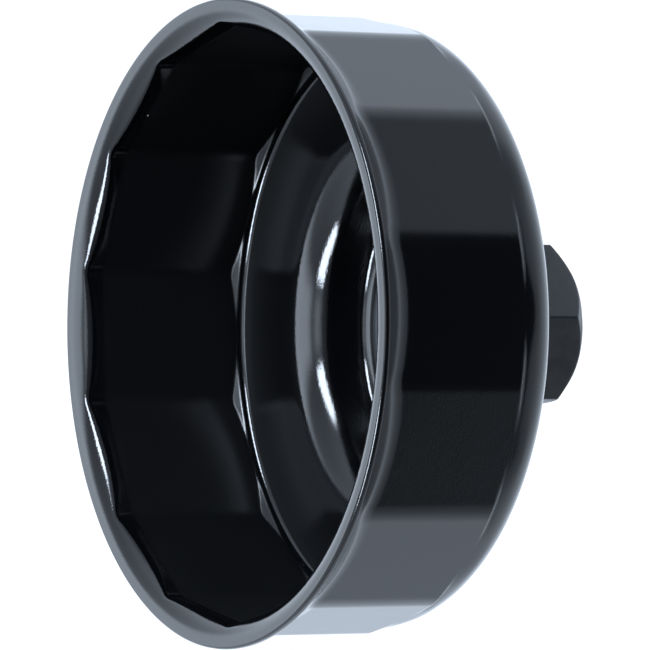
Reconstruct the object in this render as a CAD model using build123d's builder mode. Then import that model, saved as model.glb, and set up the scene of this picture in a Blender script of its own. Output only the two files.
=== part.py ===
"""Cup oil filter wrench: a fluted pressed-steel cup with a hexagon drive boss swaged through its end."""

import os
from math import acos, cos, degrees, radians, sin, tan

from build123d import *

# Millimetres. The cup axis is +Y. The mouth lies in the plane Y = 0 and faces -Y, and the
# drive boss points toward +Y. The wrench lies on its side, with +Z up.

# Fluted cup
flute_count = 14
socket_across_flats = 76.0      # the filter's flutes fit between these flats
sheet = 1.5                     # thickness of the pressed steel
flute_phase = 93.8              # direction of one flute corner, degrees from +X toward +Z
corner_radius = 6.0             # outside of each flute corner
plate_height = 28.05            # mouth to the outer face of the end plate
round_radius = 39.75            # the flutes run out into a round shoulder of this radius
shoulder_radius = 6.0           # outside of the turn from the shoulder into the end plate
ledge_slope = 0.87              # how fast the flute corners drop away outside the shoulder
socket_end_radius = 37.9        # the same round inside the socket, beyond the end of the flutes
socket_end_rounding = 0.9       # turn from that round into the end plate
dish_start = 30.5               # inside, the end plate is flat up to this radius
dish_rounding = 18.2            # and curves back toward the mouth beyond it
inner_ledge_height = 24.3       # where the inner flute corners meet the round
inner_ledge_slope = 0.9         # how fast those corners drop away outside the round

# Flared rim at the mouth
rim_radius = 42.0               # largest radius of the wrench
rim_band = 0.75                 # outer edge of the rim before the flare narrows
flare_outer_height = 3.9        # where the flare meets the middle of an outer flat
rim_outer_rounding = 0.4
rim_face_radius = 41.15         # inner edge of the rim's flat end face
mouth_rounding = 3.2            # bell mouth, from the end face into the flats of the socket

# Hub: the middle of the end plate is pressed outward, with a sloping step around it
recess_mouth_radius = 24.2      # inside of the step, where it would meet the end plate
step_angle = 20.7               # slope of the step, degrees from the cup's axis
hub_rise = 8.4                  # how far the hub stands out from the end plate
lip_rounding = 5.8              # inside, where the end plate turns into the step
floor_rounding = 1.5            # inside, where the step turns into the floor of the recess
spigot_radius = 9.4             # hole in the hub, filled by the spigot of the drive boss

# Hexagon drive boss
hex_across_flats = 20.6
hex_phase = 7.2                 # direction of one hexagon corner, degrees from +X toward +Z
hex_length = 13.15
hex_end_radius = 9.9            # circle left by the chamfer at the outer end
hex_chamfer = 2.0
collar_radius = 16.5            # edge of the spigot, swaged over the floor of the recess
collar_thickness = 2.3
collar_rounding = 0.8
square_width = 9.6              # 3/8 in square drive
square_corner_radius = 0.5
lead_in_radius = 7.0            # round countersink at the outer end of the square
lead_in_depth = 1.3
swage_bore_radius = 15.2        # cone left inside the spigot by the swaging punch
swage_bore_depth = 2.8
detent_radius = 5.7             # ring groove that the driver's ball clicks into
detent_width = 3.0
detent_from_end = 6.0

outer_apothem = socket_across_flats / 2 + sheet
inner_apothem = socket_across_flats / 2
recess_start = plate_height - sheet
hub_height = plate_height + hub_rise
hub_floor = hub_height - sheet
total_length = hub_height + hex_length
collar_start = hub_floor - collar_thickness
dish_edge_angle = degrees(acos((socket_end_radius - dish_start) / dish_rounding))
square_phase = hex_phase + 30.0
recess_floor_radius = recess_mouth_radius - hub_rise * tan(radians(step_angle))
sheet_shift = sheet * (1 - sin(radians(step_angle))) / cos(radians(step_angle))
beyond = 45.0                   # outside every part of the cup
overlap = 0.3                   # how deep the flare is buried in the wall where they meet

mouth_plane = Plane(origin=(0, 0, 0), x_dir=(1, 0, 0), z_dir=(0, 1, 0))
floor_plane = mouth_plane.offset(hub_floor)
hub_plane = mouth_plane.offset(hub_height)
collar_plane = mouth_plane.offset(collar_start)

with BuildPart() as socket_end:
    # The round inner end of the hollow, with the slightly dished end plate.
    with BuildSketch(Plane.XY) as outline:
        with BuildLine():
            dish = CenterArc(
                (dish_start, recess_start - dish_rounding),
                dish_rounding,
                dish_edge_angle,
                90 - dish_edge_angle,
            )
            Polyline(
                dish @ 1,
                (0, recess_start),
                (0, 0),
                (socket_end_radius, 0),
                dish @ 0,
            )
        make_face()
        dish_corner = outline.vertices().group_by(Axis.X)[-1].sort_by(Axis.Y)[-1]
        fillet(dish_corner, radius=socket_end_rounding)
    revolve(axis=Axis.Y)

with BuildPart() as socket:
    # The fluted hollow, whose corners taper down to the round end.
    with BuildSketch(mouth_plane) as inside:
        RegularPolygon(inner_apothem, flute_count, major_radius=False, rotation=-flute_phase)
        fillet(inside.vertices(), radius=corner_radius - sheet)
    extrude(amount=inner_ledge_height)
    taper_start = inner_ledge_height - inner_ledge_slope * (beyond - socket_end_radius)
    with BuildSketch(Plane.XY):
        with BuildLine():
            Polyline(
                (0, taper_start),
                (beyond, taper_start),
                (socket_end_radius, inner_ledge_height),
                (0, inner_ledge_height),
                close=True,
            )
        make_face()
    revolve(axis=Axis.Y, mode=Mode.INTERSECT)
    add(socket_end.part)

with BuildPart() as fluted_cup:
    # Fluted outside, cut to the round of the shoulder, the end plate and the raised hub.
    with BuildSketch(mouth_plane) as outside:
        RegularPolygon(outer_apothem, flute_count, major_radius=False, rotation=-flute_phase)
        fillet(outside.vertices(), radius=corner_radius)
    extrude(amount=hub_height)
    ledge_height = plate_height - shoulder_radius - 0.1     # just below the end of the shoulder's arc
    with BuildSketch(Plane.XY):
        with BuildLine():
            FilletPolyline(
                (0, hub_height),
                (recess_floor_radius + sheet_shift, hub_height),
                (recess_mouth_radius + sheet_shift, plate_height),
                (round_radius, plate_height),
                (round_radius, ledge_height),
                radius=[floor_rounding + sheet, lip_rounding - sheet, shoulder_radius],
            )
            Polyline(
                (round_radius, ledge_height),
                (beyond, ledge_height - ledge_slope * (beyond - round_radius)),
                (beyond, 0),
                (0, 0),
                (0, hub_height),
            )
        make_face()
    revolve(axis=Axis.Y, mode=Mode.INTERSECT)

    add(socket.part, mode=Mode.SUBTRACT)

    # Round flare around the outside of the mouth, buried in the wall at its inner edge.
    flare_slope = (rim_radius - outer_apothem) / (flare_outer_height - rim_band)
    buried_radius = outer_apothem - overlap
    buried_height = flare_outer_height + overlap / flare_slope
    with BuildSketch(Plane.XY):
        with BuildLine():
            Polyline(
                (buried_radius, 0),
                (rim_radius, 0),
                (rim_radius, rim_band),
                (buried_radius, buried_height),
                close=True,
            )
        make_face()
    revolve(axis=Axis.Y)

    # Bell mouth inside the rim, whose last few degrees run out in the hollow.
    with BuildSketch(Plane.XY):
        with BuildLine():
            bell = CenterArc((rim_face_radius, mouth_rounding), mouth_rounding, 180, 90)
            Polyline(bell @ 1, (0, 0), (0, mouth_rounding), bell @ 0)
        make_face()
    revolve(axis=Axis.Y, mode=Mode.SUBTRACT)
    rim_face = fluted_cup.faces().filter_by(Axis.Y).sort_by(Axis.Y)[0]
    fillet(rim_face.edges().sort_by(SortBy.LENGTH)[-1], radius=rim_outer_rounding)

    # Recess in the socket behind the hub: the hub's outline, one sheet thickness further in.
    with BuildSketch(Plane.XY):
        with BuildLine():
            FilletPolyline(
                (0, hub_floor),
                (recess_floor_radius, hub_floor),
                (recess_mouth_radius, recess_start),
                (recess_mouth_radius + lip_rounding, recess_start),
                radius=[floor_rounding, lip_rounding],
            )
            Polyline(
                (recess_mouth_radius + lip_rounding, recess_start),
                (recess_mouth_radius + lip_rounding, recess_start - 1),
                (0, recess_start - 1),
                (0, hub_floor),
            )
        make_face()
    revolve(axis=Axis.Y, mode=Mode.SUBTRACT)

    # Hole for the spigot.
    with BuildSketch(floor_plane):
        Circle(spigot_radius)
    extrude(amount=sheet, mode=Mode.SUBTRACT)

with BuildPart() as drive_hex:
    # Hexagon with its corners chamfered at the outer end.
    with BuildSketch(hub_plane):
        RegularPolygon(hex_across_flats / 2, 6, major_radius=False, rotation=-hex_phase)
    extrude(amount=hex_length)
    chamfer_slope = (hex_across_flats / 2 / cos(radians(30)) - hex_end_radius) / hex_chamfer
    with BuildSketch(Plane.XY):
        with BuildLine():
            Polyline(
                (0, hub_height),
                (hex_end_radius + chamfer_slope * hex_length, hub_height),
                (hex_end_radius, total_length),
                (0, total_length),
                close=True,
            )
        make_face()
    revolve(axis=Axis.Y, mode=Mode.INTERSECT)

    # Spigot through the hub, swaged over on the inside.
    with BuildSketch(floor_plane):
        Circle(spigot_radius)
    extrude(amount=sheet)
    with BuildSketch(collar_plane):
        Circle(collar_radius)
    extrude(amount=collar_thickness)
    collar_edge = drive_hex.faces().sort_by(Axis.Y)[0].edges()
    fillet(collar_edge, radius=collar_rounding)

    # Square drive right through, with its lead-in, the swaging cone and the detent groove.
    with BuildSketch(collar_plane) as square:
        Rectangle(square_width, square_width, rotation=-square_phase)
        fillet(square.vertices(), radius=square_corner_radius)
    extrude(amount=total_length - collar_start, mode=Mode.SUBTRACT)
    with BuildSketch(Plane.XY):
        with BuildLine():
            Polyline(
                (0, total_length),
                (lead_in_radius, total_length),
                (square_width / 2, total_length - lead_in_depth),
                (0, total_length - lead_in_depth),
                close=True,
            )
        make_face()
        with BuildLine():
            Polyline(
                (0, collar_start),
                (swage_bore_radius, collar_start),
                (square_width / 2, collar_start + swage_bore_depth),
                (0, collar_start + swage_bore_depth),
                close=True,
            )
        make_face()
        with BuildLine():
            Polyline(
                (0, total_length - detent_from_end - detent_width / 2),
                (square_width / 2, total_length - detent_from_end - detent_width / 2),
                (detent_radius, total_length - detent_from_end - detent_width / 4),
                (detent_radius, total_length - detent_from_end + detent_width / 4),
                (square_width / 2, total_length - detent_from_end + detent_width / 2),
                (0, total_length - detent_from_end + detent_width / 2),
                close=True,
            )
        make_face()
    revolve(axis=Axis.Y, mode=Mode.SUBTRACT)

os.makedirs("parts", exist_ok=True)
fluted_cup.part.label = "fluted_cup"
drive_hex.part.label = "drive_hex"
export_step(fluted_cup.part, "parts/fluted_cup.step")
export_step(drive_hex.part, "parts/drive_hex.step")
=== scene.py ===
"""Looks of the cup oil filter wrench: a glossy black fluted cup and its matte black drive boss."""
from math import pi, radians

import bpy
import numpy as np
from mathutils import Matrix, Vector


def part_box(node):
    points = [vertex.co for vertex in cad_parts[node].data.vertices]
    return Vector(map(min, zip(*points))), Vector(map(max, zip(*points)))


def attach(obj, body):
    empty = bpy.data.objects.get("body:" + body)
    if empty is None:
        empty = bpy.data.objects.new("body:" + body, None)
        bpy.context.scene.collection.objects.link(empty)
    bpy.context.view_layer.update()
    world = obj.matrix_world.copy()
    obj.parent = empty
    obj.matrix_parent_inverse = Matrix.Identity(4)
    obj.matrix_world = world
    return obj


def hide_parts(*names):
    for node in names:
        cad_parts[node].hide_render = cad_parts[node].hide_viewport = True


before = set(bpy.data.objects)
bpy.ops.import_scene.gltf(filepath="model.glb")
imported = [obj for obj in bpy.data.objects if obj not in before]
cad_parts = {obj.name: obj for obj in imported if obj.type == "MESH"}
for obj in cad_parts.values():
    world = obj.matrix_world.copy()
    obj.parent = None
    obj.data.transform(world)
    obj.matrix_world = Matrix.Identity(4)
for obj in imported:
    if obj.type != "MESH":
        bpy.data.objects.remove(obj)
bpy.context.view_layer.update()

# Sizes are in millimetres, the same as the CAD model's; the largest ones are read from the CAD parts in
# model.glb.
MM = 0.001
cup_low, cup_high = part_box("fluted_cup")
boss_low, boss_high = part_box("drive_hex")
RIM_RADIUS = (cup_high.x - cup_low.x) / 2 / MM
HUB_HEIGHT = cup_high.y / MM
TOTAL_LENGTH = boss_high.y / MM
COLLAR_START = boss_low.y / MM
COLLAR_RADIUS = (boss_high.x - boss_low.x) / 2 / MM

# Fluted cup
FLUTES = 14
FLUTE_PHASE = radians(93.8)
SOCKET_APOTHEM = 38.0
SHEET = 1.5
OUTER_APOTHEM = SOCKET_APOTHEM + SHEET
CORNER_RADIUS = 6.0
HUB_RISE = 8.4
PLATE_HEIGHT = HUB_HEIGHT - HUB_RISE
ROUND_RADIUS = 39.75
SHOULDER_RADIUS = 6.0
LEDGE_SLOPE = 0.87
LEDGE_BLEND = 0.22
SOCKET_DEPTH = PLATE_HEIGHT - SHEET
SOCKET_END_RADIUS = 37.9
SOCKET_END_ROUNDING = 0.9
DISH_START = 30.5         # the end plate is flat inside this radius and dished outside it
DISH_ROUNDING = 18.2
INNER_LEDGE_HEIGHT = 24.3
INNER_LEDGE_SLOPE = 0.9
INNER_LEDGE_BLEND = 0.15
INNER_FOOT_BLEND = 0.12
RIM_BAND = 0.75
RIM_OUTER_ROUNDING = 0.4
RIM_FACE_RADIUS = 41.15
MOUTH_ROUNDING = 3.2
MOUTH_BLEND = 0.5
MOUTH_END = 5.0           # nothing of the bell mouth is left beyond this height
FLARE_OUTER_HEIGHT = 3.9
FLARE_OUTER_BLEND = 1.05
RECESS_MOUTH_RADIUS = 24.2
STEP_ANGLE = radians(20.7)
LIP_ROUNDING = 5.8
FLOOR_ROUNDING = 1.5
SPIGOT_RADIUS = 9.4
HUB_FLOOR = HUB_HEIGHT - SHEET
RECESS_FLOOR_RADIUS = RECESS_MOUTH_RADIUS - HUB_RISE * np.tan(STEP_ANGLE)
SHEET_SHIFT = SHEET * (1 - np.sin(STEP_ANGLE)) / np.cos(STEP_ANGLE)

# Drive boss
HEX_APOTHEM = 10.3
HEX_PHASE = radians(7.2)
HEX_EDGE_ROUNDING = 0.35
HEX_FOOT_ROUNDING = 0.15
HEX_RIM_ROUNDING = 0.12
HEX_END_RADIUS = 9.9
HEX_CHAMFER = 2.0
COLLAR_ROUNDING = 0.8
COLLAR_WAVE = 0.45
SQUARE_PHASE = HEX_PHASE + radians(30) + pi / 4
SQUARE_HALF = 4.8
SQUARE_CORNER_RADIUS = 0.5
LEAD_IN_RADIUS = 7.0
LEAD_IN_DEPTH = 1.3
SWAGE_BORE_RADIUS = 15.2
SWAGE_BORE_DEPTH = 2.8
DETENT_RADIUS = 5.7
DETENT_WIDTH = 3.0
DETENT_FROM_END = 6.0


# ---------------------------------------------------------------- shape helpers

def polygon_radius(angles, sides, phase, apothem, rounding):
    """Distance from the axis to a regular polygon with rounded corners, one corner at phase."""
    half = pi / sides
    turn = np.abs((angles - phase + half) % (2 * half) - half)
    centre = (apothem - rounding) / np.cos(half)
    tangent = np.arctan2(rounding * np.sin(half), centre + rounding * np.cos(half))
    on_flat = apothem / np.cos(half - turn)
    reach = np.maximum(rounding ** 2 - (centre * np.sin(turn)) ** 2, 0)
    on_corner = centre * np.cos(turn) + np.sqrt(reach)
    return np.where(turn < tangent, on_corner, on_flat)


def smooth_max(a, b, width):
    """The larger of two radii, with the crease between them rounded over width."""
    mix = np.clip(0.5 + 0.5 * (a - b) / width, 0, 1)
    return b + (a - b) * mix + width * mix * (1 - mix)


def smooth_min(a, b, width):
    """The smaller of two radii, with the crease between them rounded over width."""
    return -smooth_max(-a, -b, width)


def rounded(corners, radii, steps=16, guard=0.12):
    """Points (radius, height) along straight runs, with an arc of the given radius at each inner corner.

    A guard point beside each end of an arc keeps the straight run's shading flat.
    """
    points = [corners[0]]
    for before, corner, after, radius in zip(corners, corners[1:], corners[2:], radii):
        corner = np.array(corner)
        back = (before - corner) / np.linalg.norm(before - corner)
        ahead = (after - corner) / np.linalg.norm(after - corner)
        half = np.arccos(np.dot(back, ahead)) / 2
        reach = radius / np.tan(half)
        centre = corner + (back + ahead) / np.linalg.norm(back + ahead) * radius / np.sin(half)
        start = corner + back * reach - centre
        end = corner + ahead * reach - centre
        sweep = pi - 2 * half
        points.append(tuple(corner + back * (reach + guard)))
        for t in np.linspace(0, 1, steps):
            spoke = (np.sin((1 - t) * sweep) * start + np.sin(t * sweep) * end) / np.sin(sweep)
            points.append(tuple(centre + spoke))
        points.append(tuple(corner + ahead * (reach + guard)))
    points.append(corners[-1])
    return points


def skin(name, angles, rows):
    """A closed surface round the Y axis: each row gives radius and height at every angle."""
    count, rings = len(angles), len(rows)
    points = np.empty((rings, count, 3))
    for row, (radius, height) in enumerate(rows):
        points[row, :, 0] = radius * np.cos(angles) * MM
        points[row, :, 1] = height * MM
        points[row, :, 2] = radius * np.sin(angles) * MM
    index = np.arange(rings * count).reshape(rings, count)
    after = np.roll(index, -1, axis=0)
    corners = (index, after, np.roll(after, -1, axis=1), np.roll(index, -1, axis=1))
    faces = np.stack([c.ravel() for c in corners], axis=1)
    mesh = bpy.data.meshes.new(name)
    mesh.from_pydata(points.reshape(-1, 3).tolist(), [], faces.tolist())
    mesh.polygons.foreach_set("use_smooth", [True] * len(faces))
    mesh.update()
    piece = bpy.data.objects.new(name, mesh)
    bpy.context.collection.objects.link(piece)
    return piece


# ---------------------------------------------------------------- fluted cup

def cup_angles():
    """Fine steps round each flute corner and coarser ones along the flats."""
    near = radians(2.6)
    step = 2 * pi / FLUTES
    turns = np.concatenate([np.linspace(-near, near, 13), np.linspace(near, step - near, 13)[1:-1]])
    return FLUTE_PHASE + np.concatenate([k * step + turns for k in range(FLUTES)])


def hub_and_plate():
    """Outside of the hub and the end plate, from the spigot hole to the shoulder."""
    plate_edge = ROUND_RADIUS - SHOULDER_RADIUS - 0.1      # just short of the shoulder's arc
    corners = [(SPIGOT_RADIUS, HUB_HEIGHT), (RECESS_FLOOR_RADIUS + SHEET_SHIFT, HUB_HEIGHT),
               (RECESS_MOUTH_RADIUS + SHEET_SHIFT, PLATE_HEIGHT), (plate_edge, PLATE_HEIGHT)]
    return rounded(corners, (FLOOR_ROUNDING + SHEET, LIP_ROUNDING - SHEET), steps=10)


def outer_wall(outside):
    """Round shoulder, the ledge where the flute corners begin, the fluted wall and the flare."""
    centre_radius = ROUND_RADIUS - SHOULDER_RADIUS
    centre_height = PLATE_HEIGHT - SHOULDER_RADIUS
    full_flutes = centre_height - 1.6        # the corners have their full depth below this
    flare_end = 7.0                          # nothing of the flare is left above this
    rows = []
    for angle in np.linspace(pi / 2, 0, 34)[:-1]:
        round_radius = centre_radius + SHOULDER_RADIUS * np.cos(angle)
        height = centre_height + SHOULDER_RADIUS * np.sin(angle)
        rows.append((smooth_min(outside, round_radius, LEDGE_BLEND), height))
    for height in np.linspace(centre_height, full_flutes, 14):
        ledge = ROUND_RADIUS + (centre_height - height) / LEDGE_SLOPE
        rows.append((smooth_min(outside, ledge, LEDGE_BLEND), height))
    for height in np.linspace(full_flutes, flare_end, 8)[1:]:
        rows.append((outside, height))
    slope = (RIM_RADIUS - OUTER_APOTHEM) / (FLARE_OUTER_HEIGHT - RIM_BAND)
    for height in np.linspace(flare_end, RIM_BAND, 36)[1:-1]:
        flare = RIM_RADIUS - (height - RIM_BAND) * slope
        rows.append((smooth_max(outside, flare, FLARE_OUTER_BLEND), height))
    # A narrow strip softens the crease between the flare and the edge of the rim.
    rows.append((RIM_RADIUS - 0.03, RIM_BAND + 0.05))
    return rows


def mouth(inside):
    """Edge and end face of the rim, and the bell mouth, which fades into the flats of the socket."""
    corners = [(RIM_RADIUS, RIM_BAND - 0.04), (RIM_RADIUS, 0), (RIM_FACE_RADIUS, 0)]
    rows = rounded(corners, (RIM_OUTER_ROUNDING,))
    for angle in np.linspace(pi / 2, 0, 34)[1:]:
        bell = RIM_FACE_RADIUS - MOUTH_ROUNDING * np.cos(angle)
        rows.append((smooth_max(inside, bell, MOUTH_BLEND), MOUTH_ROUNDING * (1 - np.sin(angle))))
    throat = RIM_FACE_RADIUS - MOUTH_ROUNDING
    for height in np.linspace(MOUTH_ROUNDING, MOUTH_END, 12)[1:]:
        fade = MOUTH_BLEND * (MOUTH_END - height) / (MOUTH_END - MOUTH_ROUNDING) + 0.01
        rows.append((smooth_max(inside, throat, fade), height))
    return rows


def socket_wall(inside):
    """Socket wall, the ledges where the flutes end, and the dished edge of the end plate."""
    full_flutes = 22.4                       # the corners have their full depth below this
    edge = np.arccos((SOCKET_END_RADIUS - DISH_START) / DISH_ROUNDING)
    edge_height = SOCKET_DEPTH - DISH_ROUNDING * (1 - np.sin(edge))
    wall_end = edge_height - SOCKET_END_ROUNDING
    rows = []
    for height in np.linspace(MOUTH_END, full_flutes, 8)[1:]:
        rows.append((inside, height))
    for height in np.linspace(full_flutes, wall_end, 24)[1:]:
        ledge = SOCKET_END_RADIUS + (INNER_LEDGE_HEIGHT - height) / INNER_LEDGE_SLOPE
        round_wall = smooth_max(SOCKET_END_RADIUS, ledge, INNER_FOOT_BLEND)
        rows.append((smooth_min(inside, round_wall, INNER_LEDGE_BLEND), height))
    dish = []
    for angle in np.linspace(edge, pi / 2, 24):
        height = edge_height + DISH_ROUNDING * (np.sin(angle) - np.sin(edge))
        dish.append((DISH_START + DISH_ROUNDING * np.cos(angle), height))
    corners = [(SOCKET_END_RADIUS, wall_end), (SOCKET_END_RADIUS, edge_height), dish[4]]
    rows += rounded(corners, (SOCKET_END_ROUNDING,), steps=10, guard=0.02)[1:]
    return rows + dish[5:]


def recess():
    """Inside of the end plate, the step and floor of the recess, and the spigot hole."""
    corners = [(DISH_START - 0.05, SOCKET_DEPTH), (RECESS_MOUTH_RADIUS, SOCKET_DEPTH),
               (RECESS_FLOOR_RADIUS, HUB_FLOOR), (SPIGOT_RADIUS, HUB_FLOOR)]
    return rounded(corners, (LIP_ROUNDING, FLOOR_ROUNDING), steps=18)


def make_cup():
    """The pressed cup, from the spigot hole over the outside and the rim, and back inside to the hole."""
    angles = cup_angles()
    outside = polygon_radius(angles, FLUTES, FLUTE_PHASE, OUTER_APOTHEM, CORNER_RADIUS)
    inside = polygon_radius(angles, FLUTES, FLUTE_PHASE, SOCKET_APOTHEM, CORNER_RADIUS - SHEET)
    rows = hub_and_plate() + outer_wall(outside) + mouth(inside) + socket_wall(inside) + recess()
    return skin("Cup", angles, rows)


# ---------------------------------------------------------------- drive boss

def boss_angles():
    """Steps of two degrees, with fine steps round the corners of the hexagon and of the square."""
    fine = np.radians(np.linspace(-2.5, 2.5, 11))
    coarse = np.radians(np.arange(0, 360, 2.0))
    hex_corners = [HEX_PHASE + k * pi / 3 + fine for k in range(6)]
    square_corners = [SQUARE_PHASE + k * pi / 2 + 2 * fine for k in range(4)]
    angles = np.concatenate([coarse, *hex_corners, *square_corners]) % (2 * pi)
    return np.unique(np.round(angles, 5))


def collar_and_spigot(angles):
    """Collar, whose swaged edge is a little uneven, and the spigot through the hub."""
    wave = (2 + np.sin(3 * angles + 1.0) + 0.6 * np.sin(7 * angles) + 0.4 * np.sin(13 * angles + 2.0)) / 4
    collar = COLLAR_RADIUS - COLLAR_WAVE * wave
    collar += COLLAR_RADIUS - collar.max()
    face_edge = collar - COLLAR_ROUNDING
    side_start = COLLAR_START + COLLAR_ROUNDING
    rows = []
    for t in np.linspace(0, 0.93, 6):
        rows.append((SWAGE_BORE_RADIUS + (face_edge - SWAGE_BORE_RADIUS) * t, COLLAR_START))
    for angle in np.linspace(-pi / 2, 0, 12):
        height = COLLAR_START + COLLAR_ROUNDING * (1 + np.sin(angle))
        rows.append((collar - COLLAR_ROUNDING * (1 - np.cos(angle)), height))
    for t in (0.1, 0.9, 1.0):
        rows.append((collar, side_start + (HUB_FLOOR - side_start) * t))
    rows.append((SPIGOT_RADIUS, HUB_FLOOR))
    rows.append((SPIGOT_RADIUS, HUB_HEIGHT))
    return rows


def hexagon_outside(hexagon):
    """Hexagon and its end chamfer, which cuts the corners further down than the flats."""
    foot = HUB_HEIGHT + HEX_FOOT_ROUNDING
    corner_radius = HEX_APOTHEM / np.cos(pi / 6)
    slope = (corner_radius - HEX_END_RADIUS) / HEX_CHAMFER
    crease = TOTAL_LENGTH - (hexagon - HEX_END_RADIUS) / slope
    rows = [(hexagon - HEX_FOOT_ROUNDING, HUB_HEIGHT)]
    for t in (0.0, 0.01, 0.25, 0.5, 0.75, 0.96, 0.99):
        rows.append((hexagon, foot + (crease - foot) * t))
    rows.append((hexagon - 0.02, crease - 0.024))          # softens the crease
    for t in (0.05, 0.1, 0.5, 0.9):
        rows.append((hexagon + (HEX_END_RADIUS - hexagon) * t, crease + (TOTAL_LENGTH - crease) * t))
    for angle in np.linspace(pi / 6, pi / 2, 4):
        radius = HEX_END_RADIUS - HEX_RIM_ROUNDING * (1 - np.cos(angle))
        rows.append((radius, TOTAL_LENGTH - HEX_RIM_ROUNDING * (1 - np.sin(angle))))
    return rows


def end_face_and_hole(square):
    """End face, lead-in, the square hole with its detent groove, and the swaging cone."""
    rows = []
    for radius in np.linspace(HEX_END_RADIUS - 0.3, LEAD_IN_RADIUS + 0.1, 6):
        rows.append((radius, TOTAL_LENGTH))
    rows.append((LEAD_IN_RADIUS, TOTAL_LENGTH - 0.06))
    lead_slope = (LEAD_IN_RADIUS - SQUARE_HALF) / LEAD_IN_DEPTH
    meets = TOTAL_LENGTH - (LEAD_IN_RADIUS - square) / lead_slope
    for t in (0.1, 0.5, 0.9, 0.98):
        radius = LEAD_IN_RADIUS + (square - LEAD_IN_RADIUS) * t
        rows.append((radius, TOTAL_LENGTH + (meets - TOTAL_LENGTH) * t))

    groove = TOTAL_LENGTH - DETENT_FROM_END
    groove_end = groove - DETENT_WIDTH / 2
    for height in (TOTAL_LENGTH - LEAD_IN_DEPTH - 0.1, groove + DETENT_WIDTH / 2):
        rows.append((square, np.minimum(height, meets - 0.05)))
    level_part, side_fall = 0.35, 1.8        # the groove is level in its middle and falls off beside it
    for t in np.linspace(-1, 1, 17):
        ring = DETENT_RADIUS - side_fall * max(abs(t) - level_part, 0)
        rows.append((np.maximum(square, ring), groove - t * DETENT_WIDTH / 2))

    bore_slope = (SWAGE_BORE_RADIUS - SQUARE_HALF) / SWAGE_BORE_DEPTH
    bottom = COLLAR_START + (SWAGE_BORE_RADIUS - square) / bore_slope
    rows.append((square, groove_end - 0.1))
    for t in (0.5, 0.97, 1.0):
        rows.append((square, groove_end + (bottom - groove_end) * t))
    for t in (0.05, 0.5, 0.95):
        rows.append((square + (SWAGE_BORE_RADIUS - square) * t, bottom + (COLLAR_START - bottom) * t))
    return rows


def make_boss():
    """The drive boss, from the swaging cone over the collar and the hexagon, and back through the square."""
    angles = boss_angles()
    hexagon = polygon_radius(angles, 6, HEX_PHASE, HEX_APOTHEM, HEX_EDGE_ROUNDING)
    square = polygon_radius(angles, 4, SQUARE_PHASE, SQUARE_HALF, SQUARE_CORNER_RADIUS)
    rows = collar_and_spigot(angles) + hexagon_outside(hexagon) + end_face_and_hole(square)
    return skin("Drive_boss", angles, rows)


# ---------------------------------------------------------------- node helpers

class Graph:
    """Short ways to add and join shader nodes in one tree."""

    def __init__(self, tree):
        self.nodes, self.links = tree.nodes, tree.links

    def add(self, kind, **settings):
        node = self.nodes.new(kind)
        for name, value in settings.items():
            setattr(node, name, value)
        return node

    def put(self, socket, value):
        """Joins an output to the socket, or sets a plain value on it."""
        if isinstance(value, bpy.types.NodeSocket):
            self.links.new(value, socket)
        else:
            socket.default_value = value

    def math(self, operation, *values):
        node = self.add("ShaderNodeMath", operation=operation)
        for socket, value in zip(node.inputs, values):
            self.put(socket, value)
        return node.outputs[0]

    def ramp(self, value, start, end, low=0.0, high=1.0):
        """Goes smoothly from low to high while value goes from start to end."""
        node = self.add("ShaderNodeMapRange", interpolation_type="SMOOTHSTEP")
        sockets = ("Value", "From Min", "From Max", "To Min", "To Max")
        for name, given in zip(sockets, (value, start, end, low, high)):
            self.put(node.inputs[name], given)
        return node.outputs["Result"]

    def blend(self, factor, a, b):
        """a where factor is 0 and b where it is 1."""
        node = self.add("ShaderNodeMix", data_type="FLOAT")
        self.put(node.inputs["Factor"], factor)
        self.put(node.inputs["A"], a)
        self.put(node.inputs["B"], b)
        return node.outputs["Result"]

    def split(self, vector):
        node = self.add("ShaderNodeSeparateXYZ")
        self.put(node.inputs["Vector"], vector)
        return node.outputs["X"], node.outputs["Y"], node.outputs["Z"]

    def noise(self, vector, scale, detail):
        node = self.add("ShaderNodeTexNoise")
        self.put(node.inputs["Vector"], vector)
        node.inputs["Scale"].default_value = scale
        node.inputs["Detail"].default_value = detail
        return node.outputs["Fac"]

    def mix_color(self, factor, a, b):
        node = self.add("ShaderNodeMix", data_type="RGBA")
        self.put(node.inputs["Factor"], factor)
        self.put(node.inputs["A"], a)
        self.put(node.inputs["B"], b)
        return node.outputs["Result"]

    def red(self, color):
        node = self.add("ShaderNodeSeparateColor")
        self.put(node.inputs["Color"], color)
        return node.outputs["Red"]

    def bump(self, height, distance, normal=None):
        """Normal of a surface raised by height times distance, in metres."""
        node = self.add("ShaderNodeBump")
        self.put(node.inputs["Height"], height)
        node.inputs["Distance"].default_value = distance
        if normal is not None:
            self.put(node.inputs["Normal"], normal)
        return node.outputs["Normal"]


def new_material(name):
    """A material, its graph, the place on the object, and its shader."""
    material = bpy.data.materials.new(name)
    material.use_nodes = True
    graph = Graph(material.node_tree)
    place = graph.add("ShaderNodeTexCoord").outputs["Object"]
    return material, graph, place, material.node_tree.nodes["Principled BSDF"]


# ---------------------------------------------------------------- materials

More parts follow.
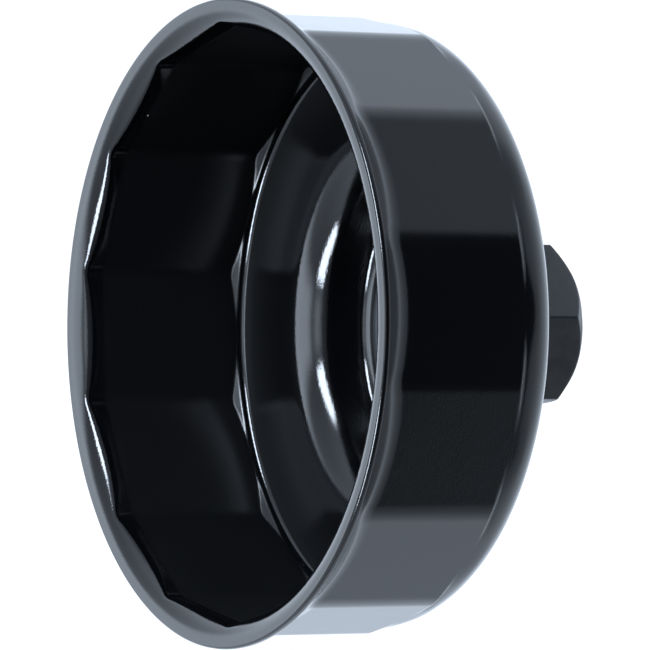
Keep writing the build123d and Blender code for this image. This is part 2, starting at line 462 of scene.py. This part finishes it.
def black_gloss():
    """Glossy black coating: a fine grain over soft orange peel, with a few specks of dust."""
    material, graph, place, shader = new_material("cup_black")
    grain = graph.noise(place, 4200.0, detail=1.0)
    peel = graph.noise(place, 420.0, detail=2.0)
    normal = graph.bump(grain, 0.010 * MM)
    graph.put(shader.inputs["Normal"], graph.bump(peel, 0.007 * MM, normal))

    cells = graph.add("ShaderNodeTexVoronoi")
    graph.put(cells.inputs["Vector"], place)
    cells.inputs["Scale"].default_value = 190.0
    rare = graph.math("GREATER_THAN", graph.red(cells.outputs["Color"]), 0.86)
    small = graph.math("LESS_THAN", cells.outputs["Distance"], 0.040)
    speck = graph.math("MULTIPLY", rare, small)
    color = graph.mix_color(speck, (0.0007, 0.0008, 0.0011, 1), (0.35, 0.36, 0.38, 1))
    graph.put(shader.inputs["Base Color"], color)

    # The wall of the socket, from its mouth to the ledges at its foot, is duller than the rest.
    x, y, z = graph.split(place)
    square_sum = graph.math("ADD", graph.math("MULTIPLY", x, x), graph.math("MULTIPLY", z, z))
    distance = graph.math("SQRT", square_sum)
    past_mouth = graph.ramp(y, 3.0 * MM, 4.2 * MM)
    before_foot = graph.ramp(y, 24.6 * MM, 23.6 * MM)
    within_sheet = graph.ramp(distance, 39.2 * MM, 39.0 * MM)
    wall = graph.math("MULTIPLY", graph.math("MULTIPLY", past_mouth, before_foot), within_sheet)
    smudge = graph.noise(place, 60.0, detail=3.0)
    polish = graph.ramp(smudge, 0.35, 0.75, 0.09, 0.14)
    graph.put(shader.inputs["Roughness"], graph.blend(wall, polish, 0.4))
    graph.put(shader.inputs["Specular IOR Level"], graph.blend(wall, 0.5, 0.3))
    shader.inputs["IOR"].default_value = 1.4
    return material


def black_oxide():
    """Matte black oxide on machined steel."""
    material, graph, place, shader = new_material("drive_black")
    grain = graph.noise(place, 2600.0, detail=3.0)
    graph.put(shader.inputs["Normal"], graph.bump(grain, 0.012 * MM))
    cloud = graph.noise(place, 350.0, detail=4.0)
    mottle = graph.ramp(cloud, 0.3, 0.7)
    color = graph.mix_color(mottle, (0.004, 0.005, 0.006, 1), (0.011, 0.012, 0.014, 1))
    graph.put(shader.inputs["Base Color"], color)
    graph.put(shader.inputs["Roughness"], graph.ramp(cloud, 0.3, 0.7, 0.36, 0.5))
    shader.inputs["IOR"].default_value = 1.4
    return material


# ---------------------------------------------------------------- studio

def make_camera():
    """Looks at the wrench from its mouth side, a little above level."""
    azimuth, elevation, roll = radians(59.74), radians(0.921), radians(1.05)
    distance = 770.0
    lens, sensor = 330.496, 36.0
    aim_right, aim_up = -13.83, 0.17         # how far the aim lies from the middle of the mouth
    level = Vector((np.cos(azimuth), np.sin(azimuth), 0))
    outward = Vector((np.sin(azimuth), -np.cos(azimuth), 0))
    back = outward * np.cos(elevation) + Vector((0, 0, 1)) * np.sin(elevation)
    up = back.cross(level)
    right = level * np.cos(roll) + up * np.sin(roll)
    up = up * np.cos(roll) - level * np.sin(roll)
    place = (back * distance - right * aim_right - up * aim_up) * MM
    data = bpy.data.cameras.new("Camera")
    data.lens, data.sensor_width = lens, sensor
    camera = bpy.data.objects.new("Camera", data)
    turn = Matrix((right, up, back)).transposed().to_4x4()
    camera.matrix_world = Matrix.Translation(place) @ turn
    bpy.context.collection.objects.link(camera)
    bpy.context.scene.camera = camera


def panel(graph, azimuth, elevation, centre, half_size, edge):
    """1 inside a patch of the sky and 0 outside it; centre, half size and soft edge in degrees."""
    across = graph.math("ABSOLUTE", graph.math("SUBTRACT", azimuth, centre[0]))
    along = graph.math("ABSOLUTE", graph.math("SUBTRACT", elevation, centre[1]))
    across = graph.ramp(across, half_size[0] + edge / 2, half_size[0] - edge / 2)
    along = graph.ramp(along, half_size[1] + edge / 2, half_size[1] - edge / 2)
    return graph.math("MULTIPLY", across, along)


def stops(graph, azimuth, levels):
    """Brightness that follows (azimuth, brightness) stops round the horizon."""
    brightest = 8.0                          # the ramp itself holds shares of this
    node = graph.add("ShaderNodeValToRGB")
    graph.put(node.inputs["Fac"], graph.math("DIVIDE", graph.math("ADD", azimuth, 180.0), 360.0))
    elements = node.color_ramp.elements
    for k, (angle, level) in enumerate(levels):
        place = (angle + 180) / 360
        element = elements[k] if k < 2 else elements.new(place)
        element.position = place
        element.color = (*[level / brightest] * 3, 1)
    return graph.math("MULTIPLY", graph.red(node.outputs["Color"]), brightest)


def make_world():
    """The light round the wrench, by azimuth from +X toward +Y; the camera stands at -30 degrees.

    Grey cloth all round, a bright level band of light in front of the mouth, a dark room to the
    camera's right, and two strip lamps above and below the camera's left.
    """
    world = bpy.data.worlds.new("Studio")
    world.use_nodes = True
    graph = Graph(world.node_tree)
    way = graph.add("ShaderNodeTexCoord").outputs["Generated"]
    x, y, z = graph.split(way)
    azimuth = graph.math("DEGREES", graph.math("ARCTAN2", y, x))
    elevation = graph.math("DEGREES", graph.math("ARCSINE", z))
    steep = graph.math("ABSOLUTE", elevation)

    band = stops(graph, azimuth, (
        (-180, 2.2), (-150, 3.0), (-125, 6.4), (-110, 6.8), (-80, 6.8), (-73, 5.6), (-68, 3.6),
        (-64, 1.9), (-60, 2.2), (-52, 4.0), (-46, 4.0), (-40, 2.2), (-34, 0.6), (-16, 0.5), (-5, 0.37),
        (5, 0.22), (27, 0.035), (40, 0.1), (47, 0.85), (90, 1.25), (135, 1.5), (180, 2.2),
    ))
    level = stops(graph, azimuth, (
        (-180, 1.8), (-60, 1.2), (-43, 0.7), (-30, 0.5), (-16, 0.5), (-5, 0.37), (5, 0.22),
        (27, 0.035), (40, 0.1), (47, 0.85), (90, 1.25), (135, 1.5), (180, 1.8),
    ))
    high = stops(graph, azimuth, (
        (-180, 2.2), (-60, 1.8), (-25, 1.1), (0, 0.8), (45, 0.76), (70, 1.4), (120, 2.0), (180, 2.2),
    ))
    light = graph.blend(graph.ramp(steep, 8, 20), band, level)
    light = graph.blend(graph.ramp(steep, 30, 60), light, high)
    light = graph.blend(graph.ramp(steep, 65, 85), light, 0.95)
    for lamp_elevation in (37.0, -36.0):
        lamp = panel(graph, azimuth, elevation, (-51.0, lamp_elevation), (10.0, 16.0), 3.0)
        light = graph.blend(lamp, light, 42.0)
    background = world.node_tree.nodes["Background"]
    background.inputs["Color"].default_value = (0.84, 0.96, 1.12, 1)       # a cool white
    graph.put(background.inputs["Strength"], light)
    bpy.context.scene.world = world


def glow_material(name, strength):
    """A black surface that gives white light."""
    material, _, _, shader = new_material(name)
    shader.inputs["Base Color"].default_value = (0, 0, 0, 1)
    shader.inputs["Emission Color"].default_value = (1, 1, 1, 1)
    shader.inputs["Emission Strength"].default_value = strength
    return material


def make_stage():
    """A white floor under the wrench, and a plain white backdrop that only the camera sees."""
    reach = 3.0
    corners = [(x * reach, y * reach, cup_low.z) for x, y in ((-1, -1), (1, -1), (1, 1), (-1, 1))]
    mesh = bpy.data.meshes.new("Floor")
    mesh.from_pydata(corners, [], [(0, 1, 2, 3)])
    floor = bpy.data.objects.new("Floor", mesh)
    material, _, _, shader = new_material("floor")
    shader.inputs["Base Color"].default_value = (0.1, 0.1, 0.1, 1)
    shader.inputs["Emission Color"].default_value = (1, 1, 1, 1)
    shader.inputs["Emission Strength"].default_value = 1.0
    shader.inputs["Roughness"].default_value = 0.9
    shader.inputs["Specular IOR Level"].default_value = 0.0
    mesh.materials.append(material)
    floor.visible_glossy = False
    bpy.context.collection.objects.link(floor)

    bpy.ops.mesh.primitive_uv_sphere_add(radius=4.0, segments=48, ring_count=24)
    backdrop = bpy.context.object
    backdrop.name = "Backdrop"
    backdrop.data.materials.append(glow_material("backdrop", 1.0))
    backdrop.visible_glossy = False
    backdrop.visible_diffuse = False
    backdrop.visible_shadow = False
    backdrop.visible_transmission = False


cup = make_cup()
boss = make_boss()
cup.data.materials.append(black_gloss())
boss.data.materials.append(black_oxide())
for piece, node, slot in ((cup, "fluted_cup", "cup_black"), (boss, "drive_hex", "drive_black")):
    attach(piece, "root")
    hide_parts(node)
make_stage()
make_world()
make_camera()
bpy.context.scene.view_settings.view_transform = "Standard"
